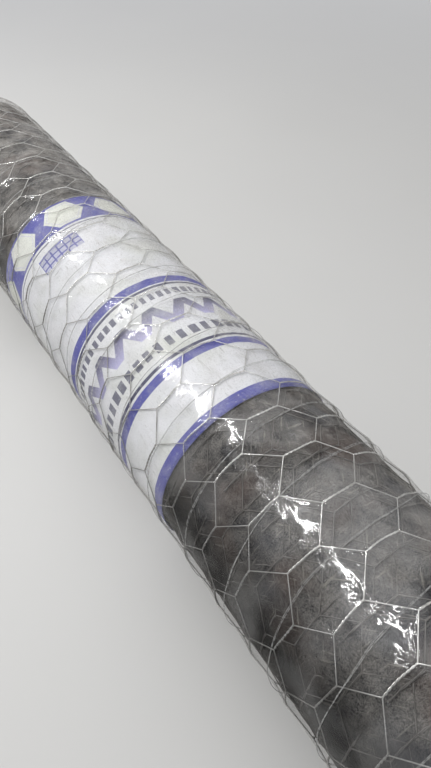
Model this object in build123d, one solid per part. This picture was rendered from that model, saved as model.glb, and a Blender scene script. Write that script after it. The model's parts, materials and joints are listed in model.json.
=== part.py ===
from build123d import *
from math import degrees, sqrt
import os

# A roll of galvanised hexagonal wire netting, bound in clear film, with a printed paper label under its
# outermost turn. The roll lies on its side: its axis runs along X, and the origin is on the ground under
# the middle of the roll. All sizes are in millimetres.

# Wound netting
netting_width = 1200.0       # the width that the netting is woven to, and so the length of the roll
netting_diameter = 209.0     # over the outermost turn of netting
bore_diameter = 50.0         # the hole that the winding bar leaves
outer_turn_height = 4.0      # how far the outermost turn stands out from the turns beneath it
ridge_count = 24             # places for the ridges that its twisted sides make, every second line of them
end_turns = 7                # turns of the spiral that is cut into each end face
turn_gap_width = 3.2         # width of the gap between two turns at the ends
turn_gap_depth = 5.0         # how deep the gap between two turns can be seen into
turn_land = 3.0              # plain ring left at the bore and at the outer edge of each end

# Printed paper label, wound in under the outermost turn
label_width = 420.0
label_thickness = 0.3
label_lap = 40.0             # how far the label's end lies over its start
label_lap_angle = 135.0      # where the lap lies, in degrees about X from straight up towards the back

# Clear film over everything
film_thickness = 0.3         # all the turns of stretch film together
film_tuck = 30.0             # how far the film is turned in over each end
wrap_clearance = 0.2         # slack between one wrapped layer and the next

# Radii and places that follow from the sizes above
netting_radius = netting_diameter / 2
bore_radius = bore_diameter / 2
turns_radius = netting_radius - outer_turn_height
ridge_half_base = outer_turn_height  # so that the flanks slope at 45 degrees
label_inner_radius = turns_radius + wrap_clearance
label_outer_radius = label_inner_radius + label_thickness
film_inner_radius = netting_radius + wrap_clearance
film_outer_radius = film_inner_radius + film_thickness
film_inner_half_length = netting_width / 2 + wrap_clearance
film_lip_radius = netting_radius - film_tuck
film_inner_bevel = outer_turn_height  # along the outer flank of the last ridge
film_outer_bevel = film_inner_bevel + film_thickness * (2 - sqrt(2))  # as thick there as elsewhere
spiral_start_radius = bore_radius + turn_land
spiral_end_radius = turns_radius - turn_land
turn_pitch = (spiral_end_radius - spiral_start_radius - turn_gap_width) / end_turns


def section(half_length, inner_radius, outer_radius, bevel=0.0):
    """Half of a turned shape's section, in the plane of X and the radius, with bevelled outer corners."""
    height = outer_radius - inner_radius
    face = Plane.XZ * Pos(0, inner_radius + height / 2) * Rectangle(2 * half_length, height)
    if bevel:
        corners = face.vertices().group_by(Axis.Z)[-1]
        face = chamfer(corners, bevel)
    return face


def ridge_places():
    """Where the ridges stand along the roll. Round the label there are none."""
    last = netting_width / 2 - ridge_half_base
    places = [last * (2 * index / (ridge_count - 1) - 1) for index in range(ridge_count)]
    return [place for place in places if abs(place) > label_width / 2 + ridge_half_base]


def spiral_arcs(first_radius):
    """A spiral of half circles about two centres, which grows by one turn's pitch for each full turn."""
    arcs = []
    point = (-first_radius, 0)
    radius = first_radius
    upwards = True
    for _ in range(2 * end_turns):
        radius += turn_pitch / 4
        reach = 2 * radius if upwards else -2 * radius
        end = (point[0] + reach, 0)
        middle = (point[0] + reach / 2, radius if upwards else -radius)
        arcs.append(ThreePointArc(point, middle, end))
        point = end
        upwards = not upwards
        radius += turn_pitch / 4
    return arcs


def turn_gap():
    """The gap between neighbouring turns, as a flat spiral strip of constant width."""
    inner = spiral_arcs(spiral_start_radius)
    outer = spiral_arcs(spiral_start_radius + turn_gap_width)
    start = Line(inner[0] @ 0, outer[0] @ 0)
    end = Line(inner[-1] @ 1, outer[-1] @ 1)
    return make_face([*inner, *outer, start, end])


def make_netting_roll():
    body = section(netting_width / 2, bore_radius, turns_radius)
    ridge = Polygon((-ridge_half_base, 0), (ridge_half_base, 0), (0, outer_turn_height), align=None)
    body += [Plane.XZ * Pos(place, turns_radius) * ridge for place in ridge_places()]
    roll = revolve(body, Axis.X)
    cutter = extrude(turn_gap(), turn_gap_depth)
    near_end = Plane(origin=(netting_width / 2, 0, 0), x_dir=(0, 1, 0), z_dir=(-1, 0, 0))
    far_end = Plane(origin=(-netting_width / 2, 0, 0), x_dir=(0, 1, 0), z_dir=(1, 0, 0))
    return roll - near_end * cutter - far_end * cutter


def make_label():
    sleeve = revolve(section(label_width / 2, label_inner_radius, label_outer_radius), Axis.X)
    lap_outer_radius = label_outer_radius + label_thickness
    lap_sweep = degrees(label_lap / label_outer_radius)
    lap = revolve(section(label_width / 2, label_inner_radius, lap_outer_radius), Axis.X, lap_sweep)
    return sleeve + Rot(label_lap_angle - lap_sweep / 2, 0, 0) * lap


def make_film():
    film_outer_half_length = film_inner_half_length + film_thickness
    outer = section(film_outer_half_length, film_lip_radius, film_outer_radius, film_outer_bevel)
    inner = section(film_inner_half_length, film_lip_radius, film_inner_radius, film_inner_bevel)
    return revolve(outer - inner, Axis.X)


pieces = {
    "netting_roll": make_netting_roll(),
    "paper_label": make_label(),
    "clear_film_wrap": make_film(),
}

os.makedirs("parts", exist_ok=True)
for name, shape in pieces.items():
    export_step(Pos(0, 0, film_outer_radius) * shape, f"parts/{name}.step")
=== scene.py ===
import json
import math
import random

import bmesh
import bpy
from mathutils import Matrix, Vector, noise


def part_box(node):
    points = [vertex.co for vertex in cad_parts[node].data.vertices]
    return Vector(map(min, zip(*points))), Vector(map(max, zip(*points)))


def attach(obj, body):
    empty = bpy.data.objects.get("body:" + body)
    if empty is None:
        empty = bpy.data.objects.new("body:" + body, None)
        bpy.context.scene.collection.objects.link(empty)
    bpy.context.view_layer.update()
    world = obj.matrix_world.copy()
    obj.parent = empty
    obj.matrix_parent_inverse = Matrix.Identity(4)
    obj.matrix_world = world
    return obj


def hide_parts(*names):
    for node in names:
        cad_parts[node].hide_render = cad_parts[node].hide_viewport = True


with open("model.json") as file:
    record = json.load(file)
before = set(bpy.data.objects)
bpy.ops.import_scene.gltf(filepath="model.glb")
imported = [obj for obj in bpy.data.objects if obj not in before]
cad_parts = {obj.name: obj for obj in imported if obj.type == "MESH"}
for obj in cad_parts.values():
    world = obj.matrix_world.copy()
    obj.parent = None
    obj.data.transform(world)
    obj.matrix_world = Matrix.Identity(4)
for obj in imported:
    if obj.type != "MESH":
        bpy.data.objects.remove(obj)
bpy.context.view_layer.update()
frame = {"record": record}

# The camera stands low over the near end of the roll and looks down along it, as the photograph does.
camera_place = Vector((0.5358, -0.2492, 0.6364))
camera_forward = Vector((-0.5915, 0.3805, -0.7109))
camera_focal_length = 30.47
camera_near_limit = 0.01
camera_data = bpy.data.cameras.new("camera")
camera_data.lens = camera_focal_length
camera_data.clip_start = camera_near_limit
camera = bpy.data.objects.new("camera", camera_data)
camera.location = camera_place
camera.rotation_euler = camera_forward.to_track_quat("-Z", "Y").to_euler()
bpy.context.scene.collection.objects.link(camera)
bpy.context.scene.camera = camera
bpy.context.scene.view_settings.view_transform = "Standard"

# The floor is a plain pale studio sweep that fades into its surround. It is lit by one long soft strip over
# the roll, by one broad soft lamp above it and by the surround.
floor_reach = 12.0
floor_colour = (0.62, 0.615, 0.60)
floor_patch_fineness = 3.0
floor_fade_start = 0.9
floor_fade_length = 1.9
surround_colour = (0.96, 0.97, 1.0, 1.0)
surround_power = 0.28
surround_seen = 0.62


class Socket:
    """One value in a material. The usual operators on it add the nodes that work it out."""

    def __init__(self, finish, end):
        self.finish = finish
        self.end = end

    def output(self, name):
        """Another output of the node that this value comes from."""
        return Socket(self.finish, self.end.node.outputs[name])

    def maths(self, operation, first, second=0.0):
        return self.finish.node("Math", {0: first, 1: second}, operation=operation)

    def __add__(self, other):
        return self.maths("ADD", self, other)

    __radd__ = __add__

    def __sub__(self, other):
        return self.maths("SUBTRACT", self, other)

    def __rsub__(self, other):
        return self.maths("SUBTRACT", other, self)

    def __mul__(self, other):
        return self.maths("MULTIPLY", self, other)

    __rmul__ = __mul__

    def __truediv__(self, other):
        return self.maths("DIVIDE", self, other)

    def __rtruediv__(self, other):
        return self.maths("DIVIDE", other, self)

    def __pow__(self, other):
        return self.maths("POWER", self, other)

    def __gt__(self, other):
        return self.maths("GREATER_THAN", self, other)

    def __lt__(self, other):
        return self.maths("LESS_THAN", self, other)

    def __abs__(self):
        return self.maths("ABSOLUTE", self)

    def cycle(self):
        return self.maths("FRACT", self)

    def clamped(self):
        return self.finish.node("Clamp", {0: self})

    def over(self, level, gain):
        """How far the value is over a level, times a gain, and no less than 0 or more than 1."""
        return ((self - level) * gain).clamped()


class Finish:
    """A material, or the surround, that is put together from nodes and ends in one surface shader."""

    def __init__(self, name, kind="Material"):
        library = bpy.data.worlds if kind == "World" else bpy.data.materials
        self.kind = kind
        self.owner = library.new(name)
        self.owner.use_nodes = True
        self.tree = self.owner.node_tree
        self.tree.nodes.clear()

    def node(self, kind, sockets=None, out=0, **settings):
        """A node of one kind. Its settings come first, and then its sockets get values or links."""
        node = self.tree.nodes.new("ShaderNode" + kind)
        for name, value in settings.items():
            setattr(node, name, value)
        for name, value in (sockets or {}).items():
            if isinstance(value, Socket):
                self.tree.links.new(value.end, node.inputs[name])
            else:
                node.inputs[name].default_value = value
        return Socket(self, node.outputs[out])

    def noise(self, place, scale, detail=2.0, roughness=0.5):
        sockets = {"Vector": place, "Scale": scale, "Detail": detail, "Roughness": roughness}
        return self.node("TexNoise", sockets)

    def mixed(self, amount, first, second):
        return self.node("Mix", {0: amount, 6: first, 7: second}, out=2, data_type="RGBA")

    def vector(self, operation, first, second):
        return self.node("VectorMath", {0: first, 1: second}, operation=operation)

    def scaled(self, value, amount):
        return self.node("VectorMath", {0: value, "Scale": amount}, operation="SCALE")

    def axes(self, place):
        """The three parts of a place, each as a value of its own."""
        first = self.node("SeparateXYZ", {0: place})
        return first, first.output(1), first.output(2)

    def surface(self, shader):
        output = self.tree.nodes.new("ShaderNodeOutput" + self.kind)
        self.tree.links.new(shader.end, output.inputs["Surface"])
        return self.owner


def shows_background(finish):
    """1 on rays from the camera, off a gloss or through a clear solid, and 0 on those that carry light."""
    ray = finish.node("LightPath")
    return (ray + ray.output("Is Glossy Ray") + ray.output("Is Transmission Ray")).clamped()


def finished_mesh(form, name):
    mesh = bpy.data.meshes.new(name)
    form.to_mesh(mesh)
    form.free()
    return mesh


floor_form = bmesh.new()
bmesh.ops.create_grid(floor_form, x_segments=1, y_segments=1, size=floor_reach / 2)
floor_mesh = finished_mesh(floor_form, "floor")
floor_finish = Finish("pale_floor")
floor_place = floor_finish.node("TexCoord", out="Object")
floor_shade = floor_finish.noise(floor_place, floor_patch_fineness) * 0.06 + 0.97
floor_tint = floor_finish.scaled(floor_colour, floor_shade)
floor_shader = floor_finish.node("BsdfPrincipled", {"Base Color": floor_tint, "Roughness": 0.7})
floor_distance = floor_finish.node("VectorMath", {0: floor_place}, out=1, operation="LENGTH")
floor_far = ((floor_distance - floor_fade_start) / floor_fade_length).clamped()
floor_glow = floor_finish.node("Emission", {"Color": surround_colour, "Strength": surround_seen})
floor_fade = shows_background(floor_finish) * floor_far
floor_faded = floor_finish.node("MixShader", {0: floor_fade, 1: floor_shader, 2: floor_glow})
floor_mesh.materials.append(floor_finish.surface(floor_faded))
floor = bpy.data.objects.new("floor", floor_mesh)
bpy.context.scene.collection.objects.link(floor)

strip_size = (2.3, 0.05)
strip_place = Vector((-0.78, -0.606, 1.405))
strip_target = Vector((-0.78, 0.0, 0.105))
strip_power = 20.0
broad_size = (6.0, 6.0)
broad_place = Vector((-0.2, 0.2, 3.2))
broad_target = Vector((-0.05, 0.0, 0.105))
broad_power = 68.0


def add_lamp(name, size, place, target, power):
    data = bpy.data.lights.new(name, "AREA")
    data.shape = "RECTANGLE"
    data.size, data.size_y = size
    data.energy = power
    lamp = bpy.data.objects.new(name, data)
    lamp.location = place
    lamp.rotation_euler = (target - place).to_track_quat("-Z", "Y").to_euler()
    bpy.context.scene.collection.objects.link(lamp)


add_lamp("strip_lamp", strip_size, strip_place, strip_target, strip_power)
add_lamp("broad_lamp", broad_size, broad_place, broad_target, broad_power)
surround = Finish("surround", "World")
surround_strength = shows_background(surround) * (surround_seen - surround_power) + surround_power
surround_light = surround.node("Background", {"Color": surround_colour, "Strength": surround_strength})
bpy.context.scene.world = surround.surface(surround_light)

# The netting is woven from galvanised wires, which are twisted in pairs and part again to leave hexagonal
# cells. It is wound up across its weave, so the twisted sides run round the roll and the cells lie in rows
# along it.
netting_low, netting_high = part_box("netting_roll")
film_low, film_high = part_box("clear_film_wrap")
half_width = netting_high.x
axis_height = (film_high.z + film_low.z) / 2
netting_radius = (netting_high.z - netting_low.z) / 2
film_radius = (film_high.z - film_low.z) / 2
wire_radius = 0.0005
wire_clearance = 0.00005
outer_turn_radius = netting_radius - 2 * wire_radius - wire_clearance
selvedge_inset = 0.0035
selvedge_reach = half_width - selvedge_inset
column_count = 46
row_count = 12
column_pitch = 2 * selvedge_reach / column_count
row_turn = 2 * math.pi / row_count
twisted_share = 0.30  # half a twisted side, as a share of the way from one row of cells to the next
twist_half_turn = twisted_share * row_turn
twist_turns = 4
twist_steps = 24
first_row_turn = math.radians(-33)
drift_along = -0.0031
stretch = 0.057  # how much the rows are drawn apart on one side of the roll and together on the other
stretch_middle = math.radians(-25)
sway_along = ((0.0040, 16, (0, 0, 0)), (0.0012, 55, (0, 0, 0)))
sway_around = ((0.0034, 15, (9, 0, 4)), (0.0012, 50, (2, 7, 1)))


def unevenness(spot, parts):
    """Smooth unevenness at a spot, as the sum of parts with a size, a fineness and a place in the noise."""
    return sum(size * noise.noise(spot * fineness + Vector(shift)) for size, fineness, shift in parts)


def about_axis(x, turn, radius, height=0.0):
    """The spot so far along the axis, turned so far from straight up, and so far from the axis."""
    return Vector((x, radius * math.sin(turn), height + radius * math.cos(turn)))


def on_roll(x, turn, radius):
    return about_axis(x, turn, radius, axis_height)


def lay(x, turn, radius):
    """Wrap a place on the flat netting round the roll, with the small unevenness of hand-tight winding."""
    angle = turn + stretch * math.sin(turn - stretch_middle)
    spot = about_axis(x, angle, outer_turn_radius)
    free = max(1 - abs(x / selvedge_reach) ** 10, 0.0)
    x += (drift_along + unevenness(spot, sway_along)) * free
    angle += unevenness(spot, sway_around) / outer_turn_radius
    return on_roll(x, angle, radius)


def column_x(column):
    return -selvedge_reach + column * column_pitch


def is_twisted(column, row):
    return (column + row) % 2 == 1


def wire_stretch(column, side, middle, half_turn, twists, steps, radius, place):
    """A stretch of wire that lies on one side of its column's line and winds so many times round it."""
    points = []
    for step in range(steps + 1):
        share = step / steps
        twist = 2 * math.pi * twists * share
        turn = middle + (2 * share - 1) * half_turn
        x = column_x(column) + side * wire_radius * math.cos(twist)
        depth = side * wire_radius * math.sin(twist)
        points.append(place(x, turn, radius(turn) + depth))
    return points


def wire_run(wire, rows, pitch, twists, steps, radius, place):
    """The middle line of one wire, which twists with its left and its right neighbour by turns."""
    points = []
    for row in range(rows):
        column = wire if is_twisted(wire, row) else wire + 1
        side = 1 if column == wire else -1
        middle = first_row_turn + row * pitch
        points += wire_stretch(column, side, middle, twisted_share * pitch, twists, steps, radius, place)
    return points


def outer_radius(turn):
    return outer_turn_radius


def selvedge_run(column, side):
    """The straight wire at an edge of the netting, which twists with the outermost woven wire."""
    points = []
    for row in range(row_count):
        twists = twist_turns if is_twisted(column, row) else 0
        middle = first_row_turn + row * row_turn
        points += wire_stretch(column, side, middle, twist_half_turn, twists, twist_steps, outer_radius, lay)
    return points


def wires_mesh(name, runs, radius, closed, roundness=1):
    """Round wires along the given runs, as one mesh."""
    line = bpy.data.curves.new(name, "CURVE")
    line.dimensions = "3D"
    line.bevel_depth = radius
    line.bevel_resolution = roundness
    line.use_fill_caps = True
    for run in runs:
        spline = line.splines.new("POLY")
        spline.points.add(len(run) - 1)
        for point, place in zip(spline.points, run):
            point.co = (*place, 1.0)
        spline.use_cyclic_u = closed
    holder = bpy.data.objects.new(name, line)
    bpy.context.scene.collection.objects.link(holder)
    depsgraph = bpy.context.evaluated_depsgraph_get()
    mesh = bpy.data.meshes.new_from_object(holder.evaluated_get(depsgraph))
    bpy.data.objects.remove(holder)
    bpy.data.curves.remove(line)
    mesh.name = name
    return mesh


def zinc_finish(name, bright, dull, metal, roughness, underside=1.0):
    """Galvanised wire: grey zinc, brighter on some stretches, with painted shade that darkens it low on the
    roll's sides.
    """
    finish = Finish(name)
    place = finish.node("TexCoord", out="Object")
    patches = finish.noise(place, 60.0, detail=3.0)
    grain = finish.noise(place, 900.0, detail=2.0)
    share = ((patches - 0.5) * 2.2 + (grain - 0.5) * 0.9 + 0.5).clamped()
    height = finish.axes(place)[2] - axis_height
    # Painted shade: the colour darkens low on the roll's sides, down to the underside share of it at the
    # bottom.
    painted_low_shade = (height / outer_turn_radius).over(0.42, 2.4) * (1 - underside) + underside
    zinc = finish.mixed(share, (*dull, 1.0), (*bright, 1.0))
    colour = finish.scaled(zinc, painted_low_shade)
    rough = roughness + 0.25 * (1 - share)
    bump = finish.node("Bump", {"Height": grain, "Strength": 0.35, "Distance": 0.0002})
    sockets = {"Base Color": colour, "Metallic": metal, "Roughness": rough, "Normal": bump}
    return finish.surface(finish.node("BsdfPrincipled", sockets))


def add_piece(name, mesh, material):
    """Put a finished mesh in the scene as one smooth piece that rides on the roll."""
    piece = bpy.data.objects.new(name, mesh)
    bpy.context.scene.collection.objects.link(piece)
    mesh.materials.clear()
    mesh.materials.append(material)
    mesh.polygons.foreach_set("use_smooth", [True] * len(mesh.polygons))
    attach(piece, "root")
    return piece


outer_runs = [
    wire_run(wire, row_count, row_turn, twist_turns, twist_steps, outer_radius, lay)
    for wire in range(column_count)
]
outer_runs.append(selvedge_run(0, -1))
outer_runs.append(selvedge_run(column_count, 1))
# The outer wire keeps half its colour at the bottom of the roll, as painted shade.
outer_wire = zinc_finish(
    "outer_wire", bright=(0.96, 0.95, 0.92), dull=(0.40, 0.39, 0.365),
    metal=0.85, roughness=0.20, underside=0.5,
)
outer_mesh = wires_mesh("outer_netting", outer_runs, wire_radius, True)
outer_netting = add_piece("outer_netting", outer_mesh, outer_wire)
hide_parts("netting_roll")

# Under the outermost turn lie the next two turns of the same strip of galvanised netting, a little out of
# step with it. The turn above holds them flat, and they show dimly through its cells. Their zinc is painted
# far darker than the outer turn's, as painted shade under the turn above.
inner_rows = 24
inner_row_turn = row_turn * 1.035
inner_start_radius = 0.1000
inner_turn_pitch = 0.0009
inner_twists = 1
inner_steps = 6
inner_shift_along = 0.007
inner_sway_along = ((0.010, 9, (5, 5, 0)),)
inner_sway_around = ((0.010, 9, (0, 3, 8)),)
inner_sway_deep = ((0.0006, 20, (0, 0, 0)),)


def inner_radius(turn):
    return inner_start_radius - inner_turn_pitch * (turn - first_row_turn) / (2 * math.pi)


def lay_inner(x, turn, radius):
    spot = about_axis(x, turn, radius)
    x += unevenness(spot, inner_sway_along) + inner_shift_along
    angle = turn + unevenness(spot, inner_sway_around) / radius
    x = max(-selvedge_reach, min(selvedge_reach, x))
    return on_roll(x, angle, radius + unevenness(spot, inner_sway_deep))


inner_runs = [
    wire_run(wire, inner_rows, inner_row_turn, inner_twists, inner_steps, inner_radius, lay_inner)
    for wire in range(column_count)
]
# Painted shade: the same zinc as the outer turn, painted far darker, and darker still low on the roll's
# sides.
inner_wire = zinc_finish(
    "inner_wire", bright=(0.25, 0.235, 0.22), dull=(0.10, 0.095, 0.088),
    metal=0.3, roughness=0.5, underside=0.55,
)
inner_mesh = wires_mesh("inner_netting", inner_runs, wire_radius, False, roundness=0)
inner_netting = add_piece("inner_netting", inner_mesh, inner_wire)
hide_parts("netting_roll")

# The turns below those lie so close that they read as one body of wire, painted dark as the shade among the
# packed turns. It is a turned drum with the bore that the winding bar left, and its ends stand back a little
# from the edges of the netting.
bore_radius = frame["record"]["mounts"][0]["dims"]["r_mm"] / 1000
body_radius = 0.0984
body_end_inset = 0.009
body_half_length = half_width - body_end_inset
body_rings = 150
body_end_rings = 8
body_segments = 72
body_swell = ((0.010, 22, (0, 0, 0)), (0.006, 70, (0, 0, 0)))
bore_margin = 0.001
# These colours are painted dark as the shade among the packed turns, and the near-black depth colour is
# painted shade in the hollows.
body_black = (0.020, 0.020, 0.022, 1.0)
body_grey = (0.205, 0.195, 0.182, 1.0)
body_rusty = (0.095, 0.062, 0.050, 1.0)
body_depth_shade = (0.008, 0.009, 0.015, 1.0)
body_wire = (0.33, 0.315, 0.275, 1.0)

body_form = bmesh.new()
body_corners = [
    Vector((-body_half_length, 0, bore_radius)),
    Vector((-body_half_length, 0, body_radius)),
    Vector((body_half_length, 0, body_radius)),
    Vector((body_half_length, 0, bore_radius)),
]
body_verts = [body_form.verts.new(corner) for corner in body_corners]
body_edges = [body_form.edges.new((body_verts[i], body_verts[(i + 1) % 4])) for i in range(4)]
bmesh.ops.subdivide_edges(body_form, edges=[body_edges[1]], cuts=body_rings)
bmesh.ops.subdivide_edges(body_form, edges=[body_edges[0], body_edges[2]], cuts=body_end_rings)
bmesh.ops.spin(
    body_form, geom=body_form.verts[:] + body_form.edges[:], cent=(0, 0, 0), axis=(1, 0, 0), dvec=(0, 0, 0),
    angle=2 * math.pi, steps=body_segments, use_merge=True, use_duplicate=False,
)
bmesh.ops.remove_doubles(body_form, verts=body_form.verts[:], dist=0.00001)
for vert in body_form.verts:
    if math.hypot(vert.co.y, vert.co.z) > bore_radius + bore_margin:
        swell = 1 + unevenness(vert.co, body_swell)
        vert.co.y *= swell
        vert.co.z *= swell
    vert.co.z += axis_height
bmesh.ops.recalc_face_normals(body_form, faces=body_form.faces[:])
body_mesh = finished_mesh(body_form, "wound_body")

body_finish = Finish("wound_body")
body_object = body_finish.node("TexCoord", out="Object")
body_centred = body_finish.vector("ADD", body_object, (0.0, 0.0, -axis_height))
body_x, body_y, body_z = body_finish.axes(body_centred)
body_round = body_finish.node("Math", {0: body_y, 1: body_z}, operation="ARCTAN2") * body_radius


def strokes(lean, length, thickness, mark):
    """Sparse soft strokes, as single wires of the deeper turns show, at a lean from the way round."""
    across = body_x * math.cos(lean) - body_round * math.sin(lean)
    forth = body_x * math.sin(lean) + body_round * math.cos(lean)
    spot = body_finish.node("CombineXYZ", {0: across / thickness, 1: forth / length, 2: mark})
    return body_finish.noise(spot, 1.0, detail=1.0, roughness=0.4).over(0.67, 9.0)


body_strokes = (
    strokes(0.0, 0.034, 0.0030, 1.0) * 0.8
    + strokes(math.radians(50), 0.028, 0.0028, 5.0)
    + strokes(math.radians(-50), 0.028, 0.0028, 9.0)
).clamped()
body_mottle = body_finish.noise(body_centred, 110.0, detail=4.0, roughness=0.65)
body_patch = body_finish.noise(body_centred, 28.0, detail=2.0, roughness=0.5)
body_grit = body_finish.noise(body_centred, 800.0, detail=1.0, roughness=0.6)
# Painted shade: near-black patches where the hollows between the deeper turns lie in shade.
body_hollow_shade = body_finish.noise(body_centred, 19.0, detail=1.0).over(0.54, 6.0)
body_rust = body_finish.noise(body_centred, 17.0, detail=2.0).over(0.50, 6.0)
body_uneven = (body_mottle - 0.5) * 1.5 + (body_patch - 0.5) * 1.2 + (body_grit - 0.5) * 1.7
body_colour = body_finish.mixed((body_uneven + 0.45).clamped(), body_black, body_grey)
body_colour = body_finish.mixed(body_rust * 0.50, body_colour, body_rusty)
body_colour = body_finish.mixed(body_hollow_shade * 0.70, body_colour, body_depth_shade)
body_colour = body_finish.mixed(body_strokes * 0.55, body_colour, body_wire)
# Painted shade: the colour darkens towards the bottom of the roll, down to a tenth of it.
body_height_shade = (body_z / body_radius).over(0.25, 2.0) * 0.90 + 0.10
body_shaded_colour = body_finish.scaled(body_colour, body_height_shade)
body_relief = body_strokes + body_patch
body_bump = body_finish.node("Bump", {"Height": body_relief, "Strength": 0.4, "Distance": 0.0008})
body_shader = body_finish.node(
    "BsdfPrincipled",
    {"Base Color": body_shaded_colour, "Roughness": 0.7, "Specular IOR Level": 0.15, "Normal": body_bump},
)
wound_body = add_piece("wound_body", body_mesh, body_finish.surface(body_shader))
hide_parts("netting_roll")

# At each end the galvanised edge wires of the turns stand out as a fine spiral round the bore. The woven
# wires are twisted on to them and slope away into the roll.
end_turn_count = 30
end_spiral_inner = bore_radius + 0.0025
end_spiral_outer = 0.0995
end_pitch = (end_spiral_outer - end_spiral_inner) / end_turn_count
end_step_length = 0.0045
end_step_turn = 0.07
end_wire_radius = 0.0008
end_depth = 0.0045
end_sway_out = ((0.0009, 60, (0, 0, 0)), (0.0006, 180, (0, 0, 0)))
end_sway_deep = ((0.0030, 40, (0, 0, 0)), (0.0022, 200, (0, 0, 0)))
end_noise_place = 3  # keeps the two ends from being alike
stub_spacing = 0.054
stub_depth = 0.010
stub_swing = (0.010, 0.016)
stub_inner_radius = bore_radius + 0.007
random.seed(7)


def end_spiral(side):
    """The edge wires of the turns at one end: a spiral whose turns stand in and out a little."""
    points = []
    radius = end_spiral_inner
    turn = 0.0
    while radius < end_spiral_outer:
        spot = about_axis(side * end_noise_place, turn, radius)
        depth = end_depth + unevenness(spot, end_sway_deep)
        points.append(on_roll(side * (half_width - depth), turn, radius + unevenness(spot, end_sway_out)))
        step = min(end_step_length / radius, end_step_turn)
        turn += step
        radius += end_pitch * step / (2 * math.pi)
    return points


def end_stubs(side, spiral):
    """Pairs of woven wires that run from the edge wire into the roll."""
    runs = []
    for place in spiral[::round(stub_spacing / end_step_length)]:
        radius = math.hypot(place.y, place.z - axis_height)
        turn = math.atan2(place.y, place.z - axis_height)
        if radius < stub_inner_radius:
            continue
        for lean in (-1, 1):
            swing = turn + lean * random.uniform(*stub_swing) / radius
            runs.append([place.copy(), on_roll(place.x - side * stub_depth, swing, radius)])
    return runs


end_wire = zinc_finish(
    "end_wire", bright=(0.66, 0.65, 0.62), dull=(0.24, 0.22, 0.20),
    metal=0.5, roughness=0.35,
)
for side, name in ((1, "near_end_turns"), (-1, "far_end_turns")):
    spiral = end_spiral(side)
    end_mesh = wires_mesh(name, [spiral] + end_stubs(side, spiral), end_wire_radius, False)
    end_turns = add_piece(name, end_mesh, end_wire)
    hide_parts("netting_roll")

# The label is one sheet of white paper that was wound in under the outermost turn. Its print is blue-violet
# bands, a row of plain hexagons, an empty chart and bars in place of words. It laps over itself at the back.
label_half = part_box("paper_label")[1].x
label_radius = 0.1013
label_lap_turn = math.radians(135)
label_lap = 0.040
label_rise = 0.0004
label_rise_share = 1.6  # how many times the lap's length the sheet takes to come down from it
label_cells = (104, 168)
label_crumple = ((0.0006, 35, (0, 0, 0)), (0.00035, 110, (0, 0, 0)))
label_settling = 0.0003  # how far the outermost turn presses the sheet down
paper_thickness = 0.00025
lap_sweep = label_lap / label_radius
sheet_sweep = 2 * math.pi + lap_sweep
paper_white = (0.80, 0.805, 0.83, 1.0)
paper_shaded = (0.52, 0.53, 0.54, 1.0)
paper_stained = (0.64, 0.66, 0.54, 1.0)
paper_scuffed = (0.36, 0.36, 0.35, 1.0)
print_cream = (0.74, 0.76, 0.62, 1.0)
print_blue = (0.085, 0.090, 0.36, 1.0)
print_grey = (0.07, 0.07, 0.13, 1.0)
print_pale = (0.52, 0.50, 0.74, 1.0)


def sheet_place(vert):
    """The share of the sheet's length, the turn and the distance along for a corner of the flat grid."""
    share = (vert.co.y + 1) / 2
    return share, label_lap_turn + lap_sweep / 2 - share * sheet_sweep, vert.co.x * label_half


label_form = bmesh.new()
print_layer = label_form.loops.layers.uv.new("print")
bmesh.ops.create_grid(label_form, x_segments=label_cells[0], y_segments=label_cells[1], size=1.0)
for face in label_form.faces:
    for loop in face.loops:
        _, turn, x = sheet_place(loop.vert)
        loop[print_layer].uv = (x, turn * label_radius)
for vert in label_form.verts:
    share, turn, x = sheet_place(vert)
    crumple = unevenness(about_axis(x, turn, label_radius), label_crumple) - label_settling
    lifted = label_rise * max(0.0, 1 - share * sheet_sweep / (lap_sweep * label_rise_share))
    vert.co = on_roll(x, turn, label_radius + crumple + lifted)
bmesh.ops.recalc_face_normals(label_form, faces=label_form.faces[:])
label_form.faces.ensure_lookup_table()
first_face = label_form.faces[0]
first_middle = first_face.calc_center_median()
if first_face.normal.dot(first_middle - Vector((first_middle.x, 0, axis_height))) < 0:
    bmesh.ops.reverse_faces(label_form, faces=label_form.faces[:])
label_mesh = finished_mesh(label_form, "label_sheet")

label_finish = Finish("label_print")
label_uv = label_finish.node("UVMap", uv_map="print")
along, around, _ = label_finish.axes(label_uv)


def within(value, low, high):
    return (value > low) * (value < high)


def stripes(*places):
    """Bands round the roll, each from one place along the label to another."""
    bands = within(along, *places[0])
    for place in places[1:]:
        bands = bands + within(along, *place)
    return bands


hexagon_pitch = 0.0719
hexagon_offset = 0.0529
hexagon_middle = -0.1825
hexagon_slant = 0.84
hexagon_reach = 0.0240
outline_outer = 0.0206
outline_inner = 0.0197


def hexagon_row(reach):
    """Plain hexagons one after another round the label, with points towards their neighbours."""
    across = abs(along - hexagon_middle)
    place_in_row = ((around + hexagon_offset) / hexagon_pitch).cycle() - 0.5
    slant = abs(place_in_row) * hexagon_pitch * hexagon_slant + across * 0.5
    return (across < reach) * (slant < reach)


def broken_stripe(low, high, pitch):
    """A stripe that is broken into short bars of uneven length."""
    bar = around / pitch
    uneven = label_finish.node("TexWhiteNoise", {"W": bar - bar.cycle()}, noise_dimensions="1D")
    return stripes((low, high)) * within(bar.cycle(), 0.14, 0.62 + uneven * 0.26)


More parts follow.
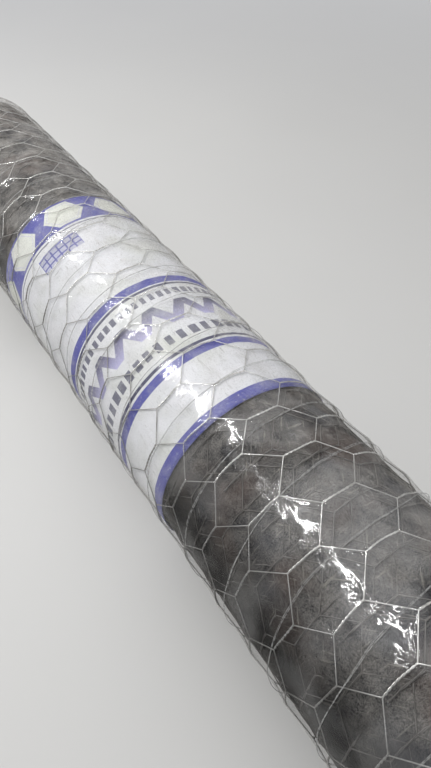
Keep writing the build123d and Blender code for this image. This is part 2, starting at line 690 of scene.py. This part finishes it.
chart_square = (0.0097, 0.0101)
zigzag_low = 0.045
zigzag_width = 0.033
zigzag_pitch = 0.0390
zigzag_stroke = 0.34
blue_bands = stripes((-0.211, -0.1545), (-0.001, 0.0112), (0.1242, 0.1347), (0.1965, 0.211))
fine_lines = stripes((-0.1508, -0.1490), (0.0132, 0.0168), (0.1168, 0.1208))
hexagons = hexagon_row(hexagon_reach)
outlines = hexagon_row(outline_outer) - hexagon_row(outline_inner)
chart_area = stripes((-0.138, -0.109)) * within(around, -0.0808, -0.0204)
chart_columns = within((along / chart_square[0]).cycle(), 0.12, 0.88)
chart_rows = within((around / chart_square[1]).cycle(), 0.10, 0.90)
chart = chart_area * ((1 - chart_columns * chart_rows) * 0.6 + 0.38)
zigzag = abs((around / zigzag_pitch).cycle() * 2 - 1)
zigzag_height = (along - zigzag_low) / zigzag_width
zigzag_area = stripes((zigzag_low, zigzag_low + zigzag_width))
zigzag_line = zigzag_area * (abs(zigzag - zigzag_height) < zigzag_stroke)
broken_stripes = broken_stripe(0.0240, 0.0345, 0.0102) + broken_stripe(0.0915, 0.1050, 0.0142)

worn = label_finish.noise(label_uv, 300.0, detail=4.0, roughness=0.7)
shade = label_finish.noise(label_uv, 26.0, detail=4.0, roughness=0.6)
stain = label_finish.noise(label_uv, 13.0, detail=3.0)
scuff_place = label_finish.node("Mapping", {0: label_uv, 3: (60.0, 260.0, 1.0)})
scuffs = label_finish.noise(scuff_place, 1.0, detail=3.0, roughness=0.6)
ink = worn.over(0.27, 7.0) * (1 - shade.over(0.55, 5.0) * 0.35)
paper = label_finish.mixed(shade.over(0.42, 3.0) * 0.45, paper_white, paper_shaded)
paper = label_finish.mixed(stain.over(0.47, 4.0) * 0.45, paper, paper_stained)
paper = label_finish.mixed(scuffs.over(0.60, 9.0) * 0.50, paper, paper_scuffed)
paper = label_finish.mixed(hexagons * 0.55, paper, print_cream)
printed = label_finish.mixed(blue_bands.clamped() * (1 - hexagons * 0.97) * ink, paper, print_blue)
printed = label_finish.mixed(outlines.clamped() * ink * 0.6, printed, print_pale)
printed = label_finish.mixed(fine_lines.clamped() * ink, printed, print_grey)
printed = label_finish.mixed(chart * ink, printed, print_blue)
zigzag_colour = label_finish.mixed(zigzag_height.clamped(), print_grey, print_pale)
printed = label_finish.mixed(zigzag_line * ink, printed, zigzag_colour)
printed = label_finish.mixed(broken_stripes * ink * 0.85, printed, print_grey)
label_bump = label_finish.node("Bump", {"Height": shade + worn * 0.2, "Strength": 0.7, "Distance": 0.0018})
label_sockets = {"Base Color": printed, "Roughness": 0.55, "Normal": label_bump}
label_shader = label_finish.node("BsdfPrincipled", label_sockets)
label_sheet = add_piece("label_sheet", label_mesh, label_finish.surface(label_shader))
label_wall = label_sheet.modifiers.new("paper", "SOLIDIFY")
label_wall.thickness = paper_thickness
label_wall.offset = -1
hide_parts("paper_label")

# The whole roll is bound in clear stretch film. It rests on the twisted sides of the outermost turn, hangs
# slack into each cell and is turned in over both ends, where it is gathered into small pleats.
film_thickness = 0.00022
film_clearance = 0.00008
film_crest = film_radius - film_clearance
film_dip = 0.0019
film_dip_range = (0.75, 1.3)
slope_sag = 0.0006  # how far the film sags along the slanting wires of a cell
cell_side_parts = 6
cell_rings = (0.955, 0.86, 0.66, 0.36)
flat_per_turn = outer_turn_radius  # length on the flat film for each radian round the roll
cell_top = (row_turn - twist_half_turn) * flat_per_turn
cell_shoulder = twist_half_turn * flat_per_turn
cell_corners = [
    Vector((0, cell_top, 0)),
    Vector((-column_pitch, cell_shoulder, 0)),
    Vector((-column_pitch, -cell_shoulder, 0)),
    Vector((0, -cell_top, 0)),
    Vector((column_pitch, -cell_shoulder, 0)),
    Vector((column_pitch, cell_shoulder, 0)),
]
edge_rise_length = 0.010  # the stretch before each end over which the film draws flat
weld_distance = 0.00003
edge_tolerance = 0.00002
# The tuck goes out along the roll and in towards its axis by these steps, from the rim to the lip.
tuck_steps = (
    (0.0010, -0.0006), (0.0028, -0.0024), (0.0036, -0.0050), (0.0037, -0.0090), (0.0036, -0.0140),
    (0.0035, -0.0190), (0.0035, -0.0240), (0.0036, -0.0298),
)
pleat_depth = 0.0022
pleat_pitch = 0.013
pleat_sharpness = 2.2
knot_reach = 0.0035
knot_height = 0.0016
fold_rise = 0.010
fold_reach = 0.024
fold_height = 0.0022
wave_height = 0.0015
gather_height = 0.0030
crease_height = 0.0005
hair_height = 0.00014
end_band = 0.0045
gloss_shift = (0.32, 3.79, 2.96)
film_roughness = 0.10
film_clear = (0.97, 0.97, 0.97, 1.0)
film_white = (1.0, 1.0, 1.0, 1.0)
dust_colour = (0.62, 0.59, 0.545, 1.0)
dust_roughness = 0.5


def film_cell(column, row):
    """One cell of film, laid flat: rings that step in from the wires to the slack middle."""
    dip = film_dip * random.uniform(*film_dip_range)
    cell_mark = random.random()
    form = bmesh.new()
    rim = bmesh.ops.create_circle(form, cap_ends=True, segments=6, radius=1.0)["verts"]
    for vert, corner in zip(rim, cell_corners):
        vert.co = corner
    bmesh.ops.subdivide_edges(form, edges=form.edges[:], cuts=cell_side_parts - 1)
    face = max(form.faces, key=lambda candidate: len(candidate.verts))
    for vert in face.verts:
        if abs(vert.co.x) < column_pitch - edge_tolerance:
            vert.co.z = -slope_sag * math.sin(math.pi * abs(vert.co.x) / column_pitch)
    rim_places = [vert.co.copy() for vert in face.verts]
    scale_of = {vert: 1.0 for vert in face.verts}
    for scale in cell_rings:
        face = bmesh.ops.extrude_discrete_faces(form, faces=[face])["faces"][0]
        for vert, place in zip(face.verts, rim_places):
            vert.co = place * scale
            vert.co.z -= dip * (1 - scale * scale)
            scale_of[vert] = scale
    middle = bmesh.ops.poke(form, faces=[face])["verts"][0]
    middle.co = (0, 0, -dip)
    scale_of[middle] = 0.0
    cell_map = form.loops.layers.uv.new("cell")
    slack_map = form.loops.layers.uv.new("slack")
    for part in form.faces:
        for loop in part.loops:
            loop[cell_map].uv = loop.vert.co.xy
            loop[slack_map].uv = (scale_of[loop.vert], cell_mark)
        part.normal_update()
        if part.normal.z < 0:
            part.normal_flip()
    centre = Vector((column_x(column), (first_row_turn + row * row_turn) * flat_per_turn, 0))
    bmesh.ops.translate(form, verts=form.verts[:], vec=centre)
    return finished_mesh(form, "film_cell")


film_form = bmesh.new()
film_form.loops.layers.uv.new("cell")
film_form.loops.layers.uv.new("slack")
for column in range(column_count + 1):
    for row in range(row_count):
        if not is_twisted(column, row):
            cell_mesh = film_cell(column, row)
            film_form.from_mesh(cell_mesh)
            bpy.data.meshes.remove(cell_mesh)
for side in (-1, 1):
    bmesh.ops.bisect_plane(
        film_form, geom=film_form.verts[:] + film_form.edges[:] + film_form.faces[:],
        plane_co=(side * selvedge_reach, 0, 0), plane_no=(side, 0, 0), clear_outer=True,
    )
bmesh.ops.remove_doubles(film_form, verts=film_form.verts[:], dist=weld_distance)
for vert in film_form.verts:
    inward = (selvedge_reach - abs(vert.co.x)) / edge_rise_length
    if inward < 1:
        vert.co.z *= max(inward, 0.0) ** 0.5


def film_rim(side):
    """The open edges of the flat film at one end of the roll."""
    rim = {vert for vert in film_form.verts if abs(vert.co.x - side * selvedge_reach) < edge_tolerance}
    return [edge for edge in film_form.edges if edge.is_boundary and all(vert in rim for vert in edge.verts)]


def pleat(turn, share):
    """How far the gathered film stands in from the flat end, which grows towards the lip."""
    spot = Vector((math.cos(turn), math.sin(turn), 0)) * (film_radius / pleat_pitch)
    return pleat_depth * share * min(1.0, pleat_sharpness * abs(noise.noise(spot)))


for side in (-1, 1):
    bmesh.ops.subdivide_edges(film_form, edges=film_rim(side), cuts=1)
    lip = film_rim(side)
    for index, (along_step, fall) in enumerate(tuck_steps):
        grown = bmesh.ops.extrude_edge_only(film_form, edges=lip)["geom"]
        lip = [item for item in grown if isinstance(item, bmesh.types.BMEdge)]
        share = max(0.0, (index - 1) / (len(tuck_steps) - 2))
        for vert in {vert for edge in lip for vert in edge.verts}:
            turn = vert.co.y / flat_per_turn
            vert.co.x = side * (selvedge_reach + along_step - pleat(turn + side, share))
            vert.co.z = fall
        lip = [edge for edge in lip if edge.is_boundary]
for vert in film_form.verts:
    vert.co = lay(vert.co.x, vert.co.y / flat_per_turn, film_crest + vert.co.z)
bmesh.ops.remove_doubles(film_form, verts=film_form.verts[:], dist=weld_distance)
film_mesh = finished_mesh(film_form, "film_wrap")

film_finish = Finish("stretch_film")
film_place = film_finish.node("TexCoord", out="Object")
cell_place = film_finish.node("UVMap", uv_map="cell")
cell_x, cell_y, _ = film_finish.axes(cell_place)
slack, cell_mark, _ = film_finish.axes(film_finish.node("UVMap", uv_map="slack"))
film_x, _, film_z = film_finish.axes(film_place)


def corner_relief(gap_along, gap_across, mark):
    """The peak at a corner of a cell, where a knot holds the film up, and the folds that spread from it."""
    angle = film_finish.node("Math", {0: gap_across, 1: gap_along}, operation="ARCTAN2")
    reach = (gap_along * gap_along + gap_across * gap_across) ** 0.5
    spot = film_finish.node("CombineXYZ", {0: angle * 2.4, 1: mark, 2: reach * 30.0})
    folds = (film_finish.noise(spot, 1.0, detail=0.0) - 0.5) * (reach / fold_rise).clamped()
    peak = (1 - reach / knot_reach).clamped()
    return folds * (1 - reach / fold_reach).clamped() * fold_height + peak * peak * knot_height


top_mark = cell_mark * 60.0 + (cell_y > 0.0) * 9.0
top_relief = corner_relief(cell_top - abs(cell_y), cell_x, top_mark)
side_mark = top_mark + (cell_x > 0.0) * 21.0 + 4.0
side_relief = corner_relief(column_pitch - abs(cell_x), abs(cell_y) - cell_shoulder, side_mark)
near_wire = slack.over(0.70, 3.4)
hairs = film_finish.noise(film_finish.scaled(cell_place, 1 / slack), 800.0, detail=1.0)
hair_patches = film_finish.noise(film_place, 30.0, detail=1.0).over(0.50, 7.0)
waves = film_finish.noise(film_place, 48.0, detail=1.0, roughness=0.4)
creases = film_finish.noise(film_place, 120.0, detail=2.0, roughness=0.5)
crease_patches = film_finish.noise(film_place, 21.0, detail=1.0).over(0.56, 9.0)
film_round = film_finish.vector("ADD", film_place, (0.0, 0.0, -axis_height))
film_round = film_finish.vector("MULTIPLY", film_round, (0.0, 1.0, 1.0))
film_round = film_finish.node("VectorMath", {0: film_round}, operation="NORMALIZE")
gathers = film_finish.noise(film_round, 8.0, detail=3.0, roughness=0.6)
end_part = abs(film_x).over(half_width - end_band, 500.0)
relief = (
    (waves - 0.5) * wave_height
    + (gathers - 0.5) * end_part * gather_height
    + top_relief
    + side_relief
    + (creases - 0.5) * crease_patches * crease_height
    + (hairs - 0.5) * near_wire * hair_patches * hair_height
)
film_bump = film_finish.node("Bump", {"Height": relief, "Strength": 1.0, "Distance": 1.0})

glance = film_finish.node("LayerWeight", {"Blend": 0.5, "Normal": film_bump}, out=1)
gloss_place = film_finish.node("Mapping", {0: film_place, 1: gloss_shift})
gloss_patches = film_finish.noise(gloss_place, 22.0, detail=1.0).over(0.41, 5.0) * 1.75 + 0.15
mirror = (glance ** 5.0 * 0.03 + 0.026) * gloss_patches
dust_broad = film_finish.noise(film_place, 38.0, detail=3.0, roughness=0.6)
specks = film_finish.noise(film_place, 850.0, detail=1.0, roughness=0.6).over(0.53, 7.0) * 0.11
scratch_place = film_finish.node("Mapping", {0: film_place, 2: (0.5, 0.9, 0.3), 3: (30.0, 420.0, 420.0)})
scratches = film_finish.noise(scratch_place, 1.0, detail=2.0, roughness=0.6)
scratch_marks = scratches.over(0.60, 6.0) * dust_broad.over(0.40, 4.0) * 0.16
dust = (0.014 + (dust_broad - 0.5) * 0.24 + specks) * (1 - near_wire * 0.35) + scratch_marks
upward = ((film_z - axis_height) / film_radius).clamped()
side_on = film_finish.node("LayerWeight", {"Blend": 0.5}, out=1)
dust_seen = dust * (upward ** 2.0 * 0.78 + 0.14) * (0.74 + side_on * side_on * 5.0)
edge_veil = side_on ** 6.0 * (specks * 2.2 + 0.07)
end_haze = end_part * (gathers.over(0.47, 6.0) * 0.24 + 0.05)
haze = (dust_seen + edge_veil + end_haze).clamped()
clear_part = film_finish.node("BsdfTransparent", {"Color": film_clear})
gloss_sockets = {"Color": film_white, "Roughness": film_roughness, "Normal": film_bump}
gloss_part = film_finish.node("BsdfGlossy", gloss_sockets)
haze_sockets = {"Base Color": dust_colour, "Roughness": dust_roughness, "Normal": film_bump}
haze_part = film_finish.node("BsdfPrincipled", haze_sockets)
film_gloss = film_finish.node("MixShader", {0: mirror, 1: clear_part, 2: gloss_part})
film_shader = film_finish.node("MixShader", {0: haze, 1: film_gloss, 2: haze_part})
film_wrap = add_piece("film_wrap", film_mesh, film_finish.surface(film_shader))
film_wall = film_wrap.modifiers.new("film", "SOLIDIFY")
film_wall.thickness = film_thickness
film_wall.offset = -1
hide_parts("clear_film_wrap")

# The film was wound on as a strip, and its edge has rolled up into two thin strands of the same clear film.
# They run round the roll in a long screw line, drawn tight over the wires.
edge_pitch = 0.064
edge_reach = 0.585
edge_radius = 0.00026
edge_clearance = 0.00002
edge_step = math.radians(3)
edge_crossing = 0.306  # where the screw line passes over the top of the roll
edge_noise_radius = 0.1
edge_sway = ((0.010, 9, (0, 0, 0)), (0.0016, 45, (0, 0, 0)))
edge_half_parting = 0.0004
edge_parting_sway = ((0.0006, 14, (3, 3, 3)),)
edge_grey = (0.34, 0.34, 0.33, 1.0)
edge_pale = (0.72, 0.72, 0.70, 1.0)
edge_roughness = 0.22


def edge_strand(side):
    """One strand of the rolled edge, which goes round from one end of the roll to the other."""
    points = []
    turn = (edge_crossing + edge_reach) / edge_pitch * 2 * math.pi
    last_turn = (edge_crossing - edge_reach) / edge_pitch * 2 * math.pi
    while turn > last_turn:
        x = edge_crossing - turn / (2 * math.pi) * edge_pitch
        spot = about_axis(x, turn, edge_noise_radius)
        parting = edge_half_parting + unevenness(spot, edge_parting_sway)
        x += unevenness(spot, edge_sway) + side * parting
        points.append(on_roll(x, turn, film_radius - edge_radius - edge_clearance))
        turn -= edge_step
    return points


edge_finish = Finish("rolled_film_edge")
edge_place = edge_finish.node("TexCoord", out="Object")
edge_streak = edge_finish.noise(edge_place, 260.0, detail=3.0)
edge_colour = edge_finish.mixed(edge_streak, edge_grey, edge_pale)
edge_clear = edge_finish.node("BsdfTransparent", {"Color": film_white})
edge_solid = edge_finish.node("BsdfPrincipled", {"Base Color": edge_colour, "Roughness": edge_roughness})
edge_cover = edge_streak.over(0.30, 3.0) * 0.40 + 0.25
edge_shader = edge_finish.node("MixShader", {0: edge_cover, 1: edge_clear, 2: edge_solid})
edge_mesh = wires_mesh("film_edge", [edge_strand(-1), edge_strand(1)], edge_radius, False, roundness=0)
film_edge = add_piece("film_edge", edge_mesh, edge_finish.surface(edge_shader))
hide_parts("clear_film_wrap")
